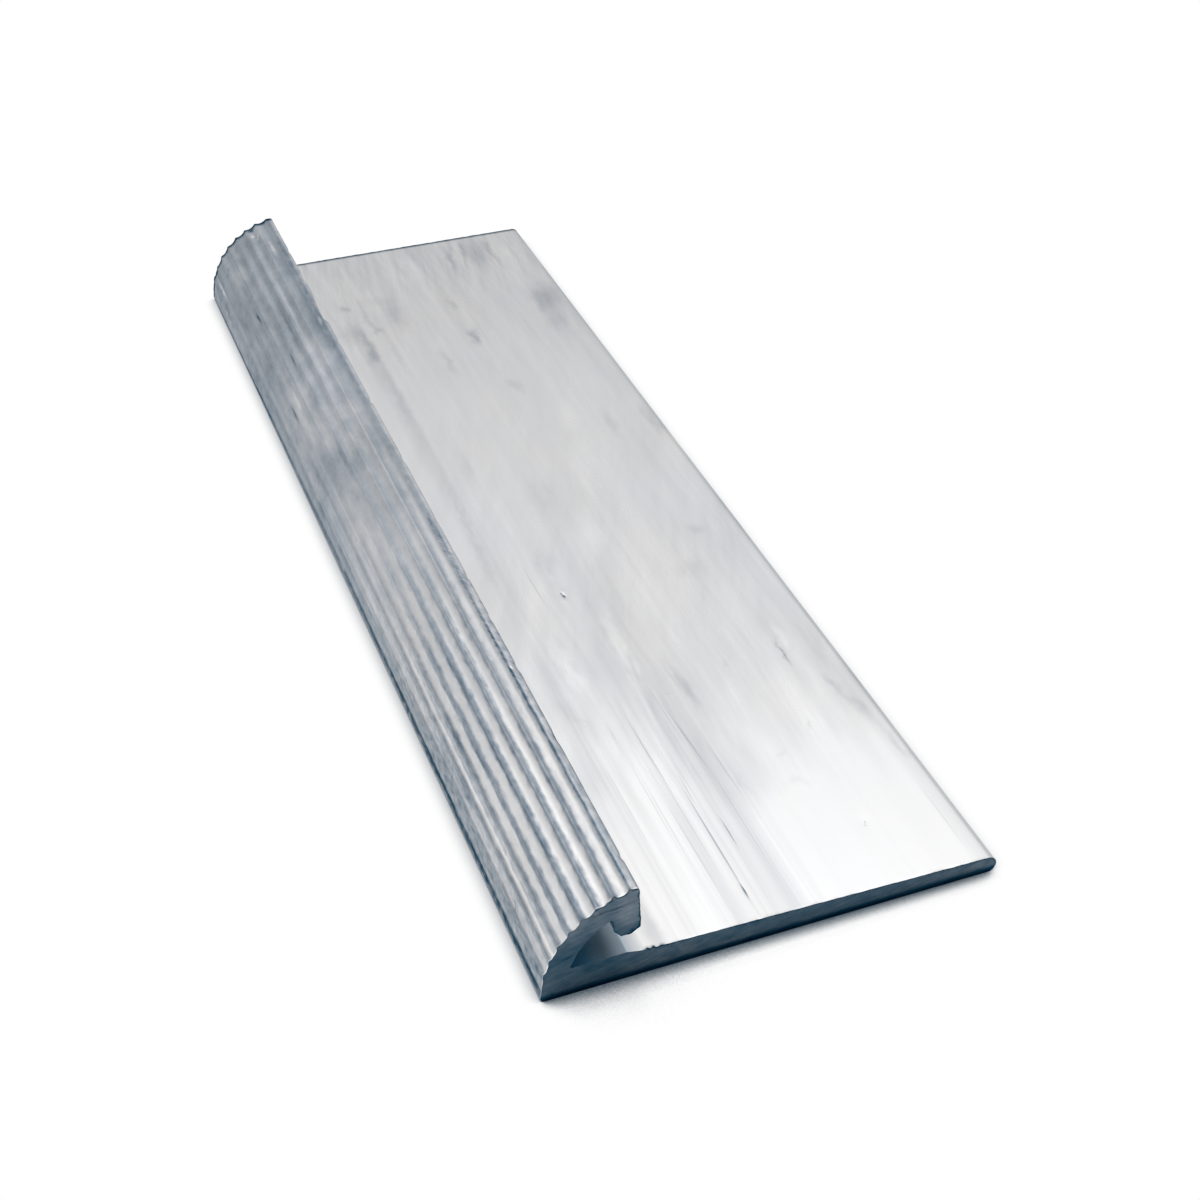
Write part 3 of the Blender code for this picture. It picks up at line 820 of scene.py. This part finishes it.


# The nose: painted light and shade in bands across the flutes, bright valleys between dark crests at the near
# end, darker all over beyond, with mottle and marks of its own
noseLook = {
    # levels of the valleys and of the crests along the length: painted light and shade, darker towards the
    # far end
    "valley": [
        (0, 0.01), (22, 0.03), (30, 0.08), (38, 0.12), (48, 0.16), (58, 0.19), (70, 0.26), (82, 0.33),
        (94, 0.31), (106, 0.29), (118, 0.38), (130, 0.39), (153, 0.38),
    ],
    "crest": [
        (0, 0.48), (36, 0.47), (48, 0.44), (58, 0.38), (70, 0.355), (82, 0.42), (94, 0.4), (106, 0.39),
        (118, 0.47), (130, 0.48), (153, 0.48),
    ],
    # how much of the crest's level, painted shade, lies at a place in a flute, by its distance from the crest
    # in flutes
    "nearShape": [
        (-0.5, 0), (-0.4, 0.04), (-0.3, 0.22), (-0.2, 0.65), (-0.12, 1), (0.1, 1), (0.18, 0.82), (0.25, 0.48),
        (0.32, 0.12), (0.4, 0), (0.5, 0),
    ],
    "midShape": [
        (-0.5, 0.05), (-0.38, 0.2), (-0.25, 0.72), (-0.12, 1), (0.12, 0.92), (0.25, 0.65), (0.38, 0.28),
        (0.5, 0.05),
    ],
    "middle": [(48, 0), (66, 1)],
    "patchEdge": ((0.14, 0.06, 0.14), (0, 6, 0), 4, 5),
    "ontoKick": (0.16, -0.05),  # where the flutes give way to the kick face, in flutes, and to the land
    "ontoLand": (6.8, 6.92),
    # a painted highlight along the crests, and painted shade just below them at the far end
    "crestLift": [(-0.1, 0), (-0.03, -0.05), (0.04, -0.05), (0.11, 0)],
    "crestLiftAlong": [(10, 0.3), (50, 1), (90, 0.9), (106, 0.2)],
    "farRim": [(-0.26, 0), (-0.14, 0.06), (-0.04, 0.05), (0.08, 0)],
    "farRimBy": [(0.4, 0.7), (3.1, 1), (3.6, 0.2)],
    "farShape": [
        (-0.5, 0.55), (-0.35, 1), (-0.15, 0.9), (0, 0.5), (0.15, 0.05), (0.3, 0), (0.42, 0.25), (0.5, 0.55),
    ],
    "farther": [(70, 0), (106, 1)],
    "bandShift": [
        (0.5, 0.06), (1.5, 0.05), (2.5, 0.04), (3.5, 0.02), (3.6, -0.02), (4.5, -0.04), (5.5, -0.06),
        (6.5, -0.07), (7, -0.02),
    ],
    # painted light and shade by flute, near the end, in the middle and at the far end
    "nearBy": [
        (0.12, 0), (0.22, 0.14), (0.38, 0.29), (0.52, 0.26), (0.62, 0.2), (0.74, 0.04), (0.85, 0), (1.38, 0),
        (1.48, 0.22), (1.6, 0.22), (1.72, 0.06), (1.85, 0), (2.64, 0), (2.76, 0.08), (2.88, 0.03), (3, -0.03),
        (3.12, 0.04), (3.2, 0), (3.64, 0), (3.76, 0.08), (3.9, 0.1), (4, 0.04), (4.15, 0.04), (4.22, 0),
        (6.3, 0), (6.42, 0.14), (6.52, 0.1), (6.66, 0),
    ],
    "farBy": [
        (-1.9, 0.03), (-1.6, -0.02), (-1.2, -0.03), (-0.5, -0.045), (0, -0.02), (0.3, 0.055), (0.5, 0.06),
        (0.75, 0.01), (0.95, 0.03), (1.1, 0.01), (1.3, 0.05), (1.5, 0.045), (1.7, 0), (1.9, -0.03),
        (2.1, -0.015), (2.4, -0.01), (2.75, -0.05), (2.95, -0.03), (3.15, 0.01), (3.5, -0.02), (3.8, -0.03),
        (4.15, 0.03), (4.5, 0), (4.75, -0.045), (4.9, -0.04), (5.1, 0.03), (5.4, 0.04), (5.7, -0.04),
        (5.88, -0.07), (6.1, 0.01), (6.4, 0.05), (6.7, -0.05),
    ],
    "farthestBy": [
        (4, 0), (4.6, 0.02), (4.9, 0.03), (5.2, -0.06), (5.35, -0.06), (5.6, -0.03), (6.5, 0), (6.8, 0.05),
    ],
    "nearShare": [(0, 1), (30, 1), (42, 0.6), (62, 0)],
    "farShare": [(42, 0), (60, 1)],
    "farthestShare": [(96, 0), (112, 1)],
    # the kick face's level: painted shade, standing in for a darker floor in its reflection
    "kick": [
        (0, 0.5), (40, 0.52), (62, 0.5), (72, 0.53), (88, 0.52), (100, 0.51), (118, 0.5), (130, 0.48),
        (153, 0.5),
    ],
    "kickBy": [(-1, -0.03), (-0.8, -0.03), (-0.5, 0), (-0.2, 0.04), (0, 0)],
    # a painted contact shadow in a dark line along the heel: where it lies in flutes along the length, its
    # level, its shape and how ragged it is
    "heelPlace": [(0, -1.3), (60, -1.27), (72, -1.22), (94, -1.42), (112, -1.54), (124, -1.7), (153, -1.8)],
    "heel": [(0, 0.74), (40, 0.73), (60, 0.69), (80, 0.63), (100, 0.6), (112, 0.64), (124, 0.7), (153, 0.72)],
    "heelShape": [(-0.75, 0), (-0.55, 0.16), (-0.3, 0.52), (-0.1, 0.96), (0.1, 1), (0.2, 0.45), (0.32, 0)],
    "heelFray": 0.5,
    "belowHeel": (-0.1, -0.5),
    "underHeel": 0.4,  # the level below the painted shadow line
    "landFray": 0.5,
    "landNear": [
        (6.7, 0), (6.86, 0.15), (6.95, 0.55), (7.03, 0.66), (7.09, 0.42), (7.16, 0.32), (7.3, 0.36),
        (7.42, 0.36), (7.5, 0.5), (7.6, 0.5),
    ],
    "landFar": [(6.8, 0.3), (6.9, 0.38), (7, 0.45), (7.12, 0.45), (7.24, 0.38), (7.34, 0.28), (7.6, 0.26)],
    "landAlong": [(0, 1), (60, 0.96), (85, 0.94), (100, 1), (112, 1.12), (130, 1.12), (153, 1.25)],
    "mottle": ((0.7, 0.24, 0.7), 0.065, 3, 9),
    "mottleAlong": [(0, 0.5), (40, 0.6), (90, 0.7), (153, 0.7)],
    "cloud": ((0.26, 0.11, 0.26), 0.06, 2, 49),
    "cloudAlong": [(0, 0.3), (60, 0.3), (90, 1), (153, 1.1)],
    "blotch": ((1.2, 0.7, 1.2), 0.085, 3.5, 39),  # on the kick face and the land alone
    "blotchAlong": [(0, 1), (48, 0.9), (62, 0.45), (100, 0.45), (122, 0.6), (153, 0.7)],
    "speckle": ((2.2, 0.8, 2.2), 0.06, 3, 29),
    "darkSpeckle": 0.35,  # added to the level by which the speckle is multiplied
    "speckleAlong": [(0, 1.5), (46, 1.3), (66, 0.5), (153, 0.45)],
    "hatch": ((7, 0.8, 0), 0.11, 2, 59),  # fine strokes over the land alone
    "hatchLean": 0.22,
    "hatchAlong": [(26, 0), (36, 1), (58, 1), (70, 0)],
    "wander": ((0.3, 0.1, 0.3), 0.032, 3, 3),
    "fray": ((1.6, 0.5, 1.6), 0.066, 4, 13),
    "frayAlong": [(0, 1), (50, 1), (85, 0.45), (153, 0.45)],
    "roughness": 0.34,
    "rougher": [(50, 0), (100, 0.16), (153, 0.2)],
    "roughSpeckle": 0.9,
    "fine": ((2, 0.5, 2), 0.5, 2, 1),
    "fineSpeckle": 6,
    "bump": 0.003 * mm,
    # a painted highlight along the nose's near cut edge: its reach from the end, its strength by flute, and
    # how much it lifts
    "nearEdge": [(0, 1), (0.07, 1), (0.22, 0)],
    "nearEdgeBy": [(-1.9, 0.3), (0, 0.9), (2.5, 0.7), (3.2, 0.2), (4.8, 0.2), (5.4, 0.9), (7.2, 0.9)],
    "nearEdgeHighlight": -0.32,
    "farEdgeFray": 4,
    "farEdge": [(151.4, 0), (151.9, 0.22), (152.2, 0.45), (152.4, 0.6)],
    "marks": [  # crest number, y
        (0.72, 27.2, 0.5, 4.2, 0, 0.2), (0.6, 25, 0.3, 2.4, 0, 0.1), (1.67, 104.6, 0.2, 3.2, 0, 0.2),
        (0.35, 30.2, 0.3, 1.6, 30, 0.12), (4.86, 25.5, 0.16, 3.4, 0, 0.14), (5.88, 24.5, 0.16, 4.5, 0, 0.14),
        (3.86, 24, 0.18, 4, 0, 0.12), (3.86, 41.5, 0.14, 2, 0, 0.14), (1.9, 45, 0.2, 3, 0, 0.06),
        (2.55, 130, 0.18, 2.8, 0, 0.24), (3.67, 114, 0.14, 3, 0, 0.16), (0.3, 147.5, 0.2, 4.5, 0, -0.24),
        (6.4, 143.5, 0.24, 3.4, 0, -0.16), (6.95, 118.8, 0.2, 1.8, 0, -0.2), (2.4, 106, 0.25, 4, 0, -0.12),
        (1, 91, 0.45, 8, 0, 0.09), (2.5, 88, 0.9, 9, 0, 0.06), (3.8, 87, 0.35, 7, 0, 0.1),
        (0.5, 34, 0.55, 6, 0, 0.08), (2, 32, 0.35, 6, 0, 0.12), (2.9, 27, 0.22, 4.5, 0, 0.14),
        (4, 38, 0.2, 5, 0, 0.08), (5.75, 43.5, 0.18, 3, 0, 0.1), (1.5, 33, 0.25, 2.6, 0, -0.06),
        (0.3, 9.3, 0.1, 0.7, 30, 0.22), (0.42, 9.7, 0.07, 0.5, 0, 0.18), (-0.9, 17, 0.3, 1.2, 20, -0.1),
        (5.9, 18.6, 0.16, 1.6, 0, 0.1), (7.1, 36, 0.1, 0.8, 0, -0.3), (7.45, 23.5, 0.12, 3, 0, 0.25),
        (-1.2, 74.7, 0.2, 1.5, 0, -0.15), (7.2, 28, 0.1, 5, 0, -0.1), (7.25, 16.5, 0.12, 5, 0, 0.08),
        (5.45, 151.3, 0.45, 0.7, 0, 0.3), (5.35, 149.7, 0.25, 0.8, 0, -0.2),
        (5.75, 148.6, 0.12, 1.1, 20, -0.18), (7.05, 65.6, 0.14, 1.5, 0, 0.16), (6.2, 38, 0.16, 18, 0, -0.12),
        (5.2, 40, 0.13, 20, 0, -0.13), (7.13, 61, 0.1, 8, 0, 0.12), (6.98, 63.4, 0.08, 1.4, 0, 0.12),
        (-0.7, 142.8, 0.4, 1.6, 0, -0.08), (-0.3, 136, 0.35, 1.8, 0, -0.07), (-0.2, 142.5, 0.3, 3, 0, 0.03),
        (-0.4, 130, 0.35, 1.6, 0, -0.05), (1.1, 132, 0.4, 5, 0, 0.06), (0.2, 92, 0.25, 2.6, 0, -0.06),
        (1.5, 127, 0.3, 3, 0, 0.05), (1.9, 147.5, 0.3, 1.5, 30, 0.1), (0.9, 134, 0.8, 4, 0, 0.04),
        (5.3, 126, 0.18, 14, 0, -0.06), (-0.6, 119, 0.8, 9, 0, 0.05), (4.6, 122, 0.2, 6, 0, 0.07),
    ],
    "markEdge": ((2.5, 0.5, 0), (0.07, 0.45, 0), 4, 19),
}


def noseMaterial(name):
    look = noseLook
    newMaterial(name)
    place = placeOnTrim()
    x, y, z = apart(place)[:3]
    rise = calc("ARCTAN2", z, calc("SUBTRACT", section["noseRadius"] / mm, x))
    index = calc("DIVIDE", calc("SUBTRACT", rise, section["firstCrest"]), section["flutePitch"])
    wander = grain(place, *look["wander"])
    fray = grainAlong(look, "fray", place, y)
    farther = follow(y, look["farther"])
    shift = times(follow(index, look["bandShift"]), calc("SUBTRACT", 1.0, farther))
    crossing = addUp(index, wander, fray, shift)
    fromCrest = calc("SUBTRACT", crossing, calc("ROUND", crossing))
    shape = blend(follow(y, look["middle"]), follow(fromCrest, look["nearShape"]),
                  follow(fromCrest, look["midShape"]))
    shape = blend(farther, shape, follow(fromCrest, look["farShape"]))
    patchY = apart(ragged(place, *look["patchEdge"]))[1]
    fluted = blend(shape, follow(patchY, look["valley"]), follow(patchY, look["crest"]))
    for stretch in ("near", "far", "farthest"):
        share = follow(patchY, look[stretch + "Share"])
        byIndex = follow(addUp(index, wander, fray), look[stretch + "By"])
        fluted = addUp(fluted, times(byIndex, share))
    farRim = times(follow(fromCrest, look["farRim"]), farther, follow(index, look["farRimBy"]))
    onCrest = calc("SUBTRACT", index, calc("ROUND", index))
    lift = times(follow(onCrest, look["crestLift"]), follow(y, look["crestLiftAlong"]))
    fluted = addUp(fluted, farRim, lift)
    ontoKick = between(crossing, *look["ontoKick"])
    kick = addUp(follow(patchY, look["kick"]), follow(index, look["kickBy"]))
    base = blend(ontoKick, fluted, kick)
    # the painted contact shadow along the heel
    fromHeel = addUp(calc("SUBTRACT", index, follow(y, look["heelPlace"])),
                     times(fray, look["heelFray"]))
    base = blend(between(fromHeel, *look["belowHeel"]), base, look["underHeel"])
    base = blend(follow(fromHeel, look["heelShape"]), base, follow(y, look["heel"]))
    landIndex = calc("MULTIPLY_ADD", fray, look["landFray"], index)
    onLand = between(landIndex, *look["ontoLand"])
    land = blend(follow(y, look["farShare"]), follow(landIndex, look["landNear"]),
                 follow(landIndex, look["landFar"]))
    base = blend(onLand, base, times(land, follow(patchY, look["landAlong"])))
    spots = marks(ragged(together(index, y), *look["markEdge"]), look["marks"])
    mottle = grainAlong(look, "mottle", place, y)
    cloud = grainAlong(look, "cloud", place, y)
    speckle = grainAlong(look, "speckle", place, y)
    leaning = together(calc("MULTIPLY_ADD", y, look["hatchLean"], index), y)
    hatch = times(grainAlong(look, "hatch", leaning, y), onLand)
    # the painted highlight along the near cut edge
    nearEdge = times(follow(y, look["nearEdge"]), follow(index, look["nearEdgeBy"]),
                     look["nearEdgeHighlight"])
    farEdge = follow(calc("MULTIPLY_ADD", fray, look["farEdgeFray"], y), look["farEdge"])
    blotch = times(grainAlong(look, "blotch", place, y), calc("MAXIMUM", ontoKick, onLand))
    speckled = times(speckle, addUp(base, look["darkSpeckle"]))
    level = addUp(base, spots, mottle, cloud, hatch, speckled, blotch, nearEdge, farEdge)
    rough = addUp(times(speckle, look["roughSpeckle"]), look["roughness"],
                  follow(y, look["rougher"]))
    fine = addUp(grain(place, *look["fine"]), times(speckle, look["fineSpeckle"]))
    finishMaterial(name, level, rough, fine, look["bump"], edge=darkLevelEdge)


# The channel and the faces of the hook that look into it: dark at the back and pale at the mouth, partly dirt
# and partly painted shade of the recess
channelLook = {
    "floor": [
        (3, 0.9), (4, 0.82), (5, 0.68), (6, 0.53), (7, 0.36), (8, 0.24), (8.8, 0.34), (9.5, 0.23),
        (10.5, 0.12),
    ],
    "wall": [(3.3, 0.8), (5, 0.66), (8.8, 0.5)],
    "hook": [(7.4, 0.52), (9.2, 0.44), (10.1, 0.34)],
    "aboveFloor": (3.35, 3.7),  # where the floor gives way to the wall, in z, and the wall to the hook, in x
    "ontoHook": (7.25, 7.4),
    "mottle": ((0.5, 0.12, 0.5), 0.04, 5, 41),
    "line": ((2.4, 0.03, 2.4), 0.02, 4, 42),
    "roughness": 0.4,
    "bump": 0.05 * mm,
}


def channelMaterial(name):
    look = channelLook
    newMaterial(name)
    place = placeOnTrim()
    x, _, z = apart(place)[:3]
    above = between(z, *look["aboveFloor"])
    ontoHook = between(x, *look["ontoHook"])
    aboveFloor = blend(ontoHook, follow(z, look["wall"]), follow(x, look["hook"]))
    base = blend(above, follow(x, look["floor"]), aboveFloor)
    mottle = grain(place, *look["mottle"])
    lines = grain(place, *look["line"])
    level = addUp(base, mottle, lines)
    rough = addUp(mottle, look["roughness"])
    finishMaterial(name, level, rough, lines, look["bump"], channelDirtAndShadeRamp)


# The sawn ends: dark all over with painted shade, darkest along the bottom where they meet the floor, lighter
# on the hook, with the saw's strokes across them
cutLook = {
    # levels by height and across the cut: painted shade, darkest at the bottom
    "rise": [
        (0, 0.97), (0.4, 0.92), (0.6, 0.81), (0.9, 0.72), (2, 0.735), (3.3, 0.745), (5, 0.76), (6.2, 0.735),
        (7, 0.685), (8, 0.655), (9.6, 0.635), (10.3, 0.63), (11.1, 0.65),
    ],
    "side": [
        (0, -0.03), (2, -0.02), (6, 0.01), (7.4, 0.02), (8.4, -0.02), (12, -0.04), (20, -0.01), (32, -0.02),
        (40, -0.03), (47.6, -0.05),
    ],
    "rim": [(0, 0), (0.35, 0.03), (0.7, 0.18), (1, 0.28)],
    "rimMottle": 3,
    "stroke": ((0.35, 2.6, 0.1), 0.028, 3, 8),
    "mottle": ((0.7, 1, 0.1), 0.03, 4, 6),
    "roughness": 0.45,
    "bump": 0.25 * mm,
    "marks": [  # x, z
        (7.95, 9.2, 0.13, 2.5, 83.3, 0.13), (7.6, 8.7, 0.1, 1.3, 83, 0.08), (8.6, 8.3, 1.8, 1.4, 60, -0.04),
        (2.9, 4.66, 0.14, 0.8, 78, 0.12), (5.9, 9.3, 0.8, 0.35, 60, -0.05), (3.4, 6.2, 0.5, 1.6, 38, -0.02),
        (9.3, 6, 0.4, 0.4, 0, 0.05), (20, 0.85, 4, 0.4, 0, -0.05), (33, 1.1, 5, 0.3, 0, 0.03),
        (14, 2.1, 2, 0.5, 60, -0.03), (1.2, 0.7, 0.4, 0.3, 0, 0.06), (45.6, 1.1, 1, 0.6, 0, -0.04),
    ],
    "markEdge": ((1.5, 1.5, 0.1), (0.12, 0.08, 0), 3, 26),
}


def cutMaterial(name):
    look = cutLook
    newMaterial(name)
    place = placeOnTrim()
    x, y, z = apart(place)[:3]
    upright = together(x, z, y)
    rub = together(x, calc("MULTIPLY_ADD", x, -wear["strokeSlope"], z), y)
    strokes = grain(rub, *look["stroke"])
    mottle = grain(upright, *look["mottle"])
    dark = addNode("ShaderNodeAttribute", attribute_name="rimDark").outputs["Fac"]
    rim = follow(calc("MULTIPLY_ADD", mottle, look["rimMottle"], dark), look["rim"])
    spots = marks(ragged(upright, *look["markEdge"]), look["marks"])
    level = addUp(follow(z, look["rise"]), follow(x, look["side"]), strokes, mottle, rim, spots)
    rough = addUp(mottle, look["roughness"])
    finishMaterial(name, level, rough, strokes, look["bump"], cutShadeRamp, darkLevelEdge)


# The lip's outer face, drawn in lines along it, darker towards the far end and at its two rims
lipLook = {
    "level": [(0, 0.2), (60, 0.28), (110, 0.36), (153, 0.38)],
    "rims": [(5.7, 0.14), (6.5, 0.02), (10, 0), (10.6, 0.08)],
    "mottle": ((0.1, 0.06, 0.35), 0.13, 5, 61),
    "line": ((0.1, 0.02, 1.4), 0.14, 4, 62),
    "fineLine": ((0.1, 0.04, 5), 0.09, 3, 63),
    "roughness": 0.36,
    "roughMottle": 0.5,
    "bump": 0.01 * mm,
}


def lipMaterial(name):
    look = lipLook
    newMaterial(name)
    place = placeOnTrim()
    y, z = apart(place)[1:3]
    mottle = grain(place, *look["mottle"])
    lines = grain(place, *look["line"])
    fineLines = grain(place, *look["fineLine"])
    level = addUp(mottle, lines, fineLines, follow(y, look["level"]), follow(z, look["rims"]))
    rough = addUp(times(mottle, look["roughMottle"]), look["roughness"])
    finishMaterial(name, level, rough, fineLines, look["bump"])


# The underside: never handled, evenly dull, drawn in lines by the die
undersideLook = {
    "level": 0.22,
    "mottle": ((0.15, 0.05, 0.1), 0.035, 5, 12),
    "line": ((1.2, 0.01, 0.5), 0.035, 5, 13),
    "roughness": 0.36,
    "bump": 0.06 * mm,
}


def undersideMaterial(name):
    look = undersideLook
    newMaterial(name)
    place = placeOnTrim()
    mottle = grain(place, *look["mottle"])
    lines = grain(place, *look["line"])
    level = addUp(mottle, lines, look["level"])
    rough = addUp(mottle, look["roughness"])
    finishMaterial(name, level, rough, lines, look["bump"])


finishes = {
    "mill_flange": flangeMaterial,
    "mill_nose": noseMaterial,
    "mill_channel": channelMaterial,
    "mill_lip": lipMaterial,
    "sawn_end": cutMaterial,
    "mill_underside": undersideMaterial,
}
zoneFinish = {
    "nose": "mill_nose",
    "lip": "mill_nose",
    "hook": "mill_channel",
    "outerFace": "mill_lip",
    "channel": "mill_channel",
    "foot": "mill_flange",
    "flange": "mill_flange",
    "scratch": "mill_flange",
    "edge": "mill_flange",
    "underside": "mill_underside",
    "cut": "sawn_end",
}

trim = buildTrim("edge_trim_skin")
for name, make in finishes.items():
    make(name)
    trim.data.materials.append(bpy.data.materials[name])
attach(trim, "root")
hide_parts("edge_trim")
triangles = sum(len(face.vertices) - 2 for face in trim.data.polygons)
print("trim built:", len(trim.data.polygons), "faces,", triangles, "triangles")


# The photograph's own viewpoint
view = {
    "place": (-0.06022275, -0.2096424, 0.14592648),
    "forward": (0.25449848, 0.76924657, -0.5860804),
    "up": (0.22903123, 0.54085112, 0.809336),
    "lens": 63.476,
    "sensor": 36,
    "clip": (0.01, 20),
}


def makeCamera():
    data = bpy.data.cameras.new("camera")
    data.lens, data.sensor_width = view["lens"], view["sensor"]
    data.clip_start, data.clip_end = view["clip"]
    camera = bpy.data.objects.new("camera", data)
    bpy.context.collection.objects.link(camera)
    back = -Vector(view["forward"]).normalized()
    right = Vector(view["up"]).cross(back).normalized()
    up = back.cross(right)
    turn = Matrix([[right[i], up[i], back[i]] for i in range(3)])
    camera.matrix_world = Matrix.Translation(view["place"]) @ turn.to_4x4()
    bpy.context.scene.camera = camera


# A pale floor under a soft sky that is brighter overhead than at the horizon
studio = {
    "floorSize": 3,
    "floorDrop": 0.02 * mm,
    "floorColour": (0.9, 0.9, 0.9, 1),
    "skySteps": [  # height of the direction, level
        (-1, 0.8), (0, 0.6), (0.3, 0.62), (0.44, 0.66), (0.5, 0.72), (0.574, 0.84), (0.64, 1.06), (0.7, 1.32),
        (0.9, 1.32), (0.975, 1.12), (1, 1.08),
    ],
    # a paler stretch of the sky low on the left, which the near flutes mirror, by the direction's x and z
    "leftAcross": [(-0.82, 0), (-0.7, 1), (-0.6, 1), (-0.48, 0)],
    "leftUp": [(0, 0.3), (0.14, 1), (0.34, 1), (0.46, 0)],
    "leftLevel": 0.19,
    # the shadow close round the trim, and how open a place is at its dark and pale ends
    "aroundReach": 2.6 * mm,
    "aroundOpen": (0.18, 0.86),
    "frontReach": 12 * mm,  # the shadow thrown forward from the near end
    "frontLean": (0, 1, 0),
    "shade": [
        (0, (0.02, 0.04, 0.06)), (0.22, (0.115, 0.15, 0.178)), (0.3, (0.21, 0.25, 0.275)),
        (0.42, (0.36, 0.38, 0.41)), (0.62, (0.64, 0.655, 0.67)), (0.85, (0.87, 0.875, 0.88)), (1, (1, 1, 1)),
    ],
    "frontSteps": [
        (0.25, 0.1), (0.34, 0.22), (0.385, 0.5), (0.43, 0.8), (0.49, 0.94), (0.56, 0.98), (0.64, 1),
    ],
}


def makeWorld():
    world = bpy.data.worlds.new("studio")
    bpy.context.scene.world = world
    world.use_nodes = True
    tree = wiring["tree"] = world.node_tree
    direction = addNode("ShaderNodeTexCoord").outputs["Generated"]
    x, _, z = apart(direction)[:3]
    left = times(follow(x, studio["leftAcross"]), follow(z, studio["leftUp"]),
                 studio["leftLevel"])
    sky = addUp(follow(z, studio["skySteps"]), left)
    # the camera sees plain white behind the floor, and the metal the sky
    seen = addNode("ShaderNodeLightPath").outputs["Is Camera Ray"]
    tree.links.new(blend(seen, sky, 1.0), tree.nodes["Background"].inputs["Color"])
    print("sky made")


# How open the floor is within reach of a place, from 0 to 1, facing up, or leaning to one side
def openness(reach, lean=None):
    inputs = {"Distance": reach}
    if lean:
        up = addNode("ShaderNodeNewGeometry").outputs["True Normal"]
        inputs["Normal"] = calcVector("NORMALIZE", calcVector("ADD", up, lean))
    return addNode("ShaderNodeAmbientOcclusion", inputs, samples=8).outputs["AO"]


def makeFloor():
    half = 0.5 * studio["floorSize"]
    corners = [(-half, -half, 0.0), (half, -half, 0.0), (half, half, 0.0), (-half, half, 0.0)]
    mesh = bpy.data.meshes.new("floor")
    mesh.from_pydata(corners, [], [(0, 1, 2, 3)])
    floor = bpy.data.objects.new("floor", mesh)
    bpy.context.collection.objects.link(floor)
    floor.location.z = -studio["floorDrop"]
    newMaterial("floor")
    tree = wiring["tree"]
    tree.nodes.remove(tree.nodes["Principled BSDF"])
    paint = addNode("ShaderNodeBsdfDiffuse", {"Color": studio["floorColour"]})
    around = between(openness(studio["aroundReach"]), *studio["aroundOpen"])
    front = follow(openness(studio["frontReach"], studio["frontLean"]), studio["frontSteps"])
    shade = colourRamp(times(around, front), studio["shade"])
    glow = addNode("ShaderNodeEmission", {"Color": shade, "Strength": 1.0})
    ray = addNode("ShaderNodeLightPath").outputs
    seen = calc("MAXIMUM", ray["Is Camera Ray"], ray["Is Glossy Ray"])
    seen = calc("MAXIMUM", seen, ray["Is Transmission Ray"])
    shown = addNode("ShaderNodeMixShader", {0: seen, 1: paint.outputs[0], 2: glow.outputs[0]})
    tree.links.new(shown.outputs[0], tree.nodes["Material Output"].inputs["Surface"])
    mesh.materials.append(bpy.data.materials["floor"])
    print("floor made")


makeCamera()
makeWorld()
makeFloor()
bpy.context.scene.view_settings.view_transform = "Standard"
